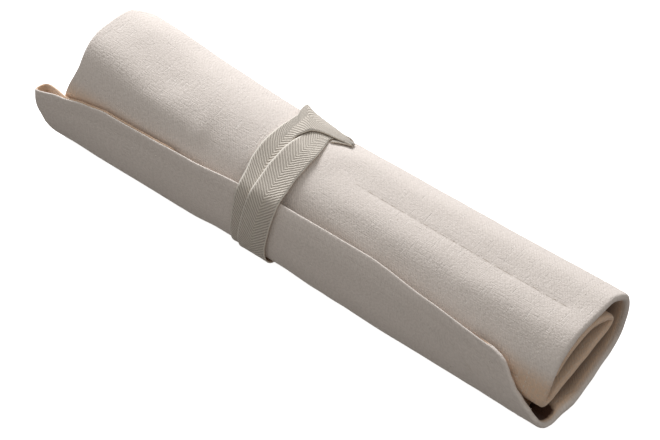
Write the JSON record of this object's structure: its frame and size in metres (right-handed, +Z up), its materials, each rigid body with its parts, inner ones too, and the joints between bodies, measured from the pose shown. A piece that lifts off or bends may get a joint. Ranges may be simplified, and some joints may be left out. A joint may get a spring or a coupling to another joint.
{
  "type": "rolled carving gouge tool roll",
  "caption": "Slack cloth tool roll for carving gouges, wound in a flat spiral with an inner pocket panel, a folded-in end flap and a wound, half-knotted herringbone tape.",
  "frame": {"origin": "centre of the bounding box in plan, on the floor plane the roll lies on", "axes": "+X along the roll toward the end where the pockets are closed, -Y toward the front where the free flap edge lies, +Z up"},
  "size_m": [0.382, 0.0902, 0.0704],
  "materials": {
    "cotton_drill": "matt natural cotton twill",
    "cotton_drill_pocket": "matt natural cotton twill",
    "herringbone_tape": "matt herringbone cotton tape",
    "sewing_thread": "slightly glossy cotton thread"
  },
  "bodies": {
    "root": {"body_panel": "cotton_drill", "pocket_bottom_hem_thread": "sewing_thread", "pocket_mouth_hem_thread": "sewing_thread", "pocket_panel": "cotton_drill_pocket", "pocket_seam_bobbin_thread_1": "sewing_thread", "pocket_seam_bobbin_thread_2": "sewing_thread", "pocket_seam_bobbin_thread_3": "sewing_thread", "pocket_seam_bobbin_thread_4": "sewing_thread", "pocket_seam_bobbin_thread_5": "sewing_thread", "pocket_seam_bobbin_thread_6": "sewing_thread", "pocket_seam_bobbin_thread_7": "sewing_thread", "pocket_seam_needle_thread_1": "sewing_thread", "pocket_seam_needle_thread_2": "sewing_thread", "pocket_seam_needle_thread_3": "sewing_thread", "pocket_seam_needle_thread_4": "sewing_thread", "pocket_seam_needle_thread_5": "sewing_thread", "pocket_seam_needle_thread_6": "sewing_thread", "pocket_seam_needle_thread_7": "sewing_thread", "side_hem_thread_inner": "sewing_thread", "side_hem_thread_outer": "sewing_thread", "tie_tape": "herringbone_tape", "top_flap_hem_thread": "sewing_thread"}
  },
  "joints": []
}
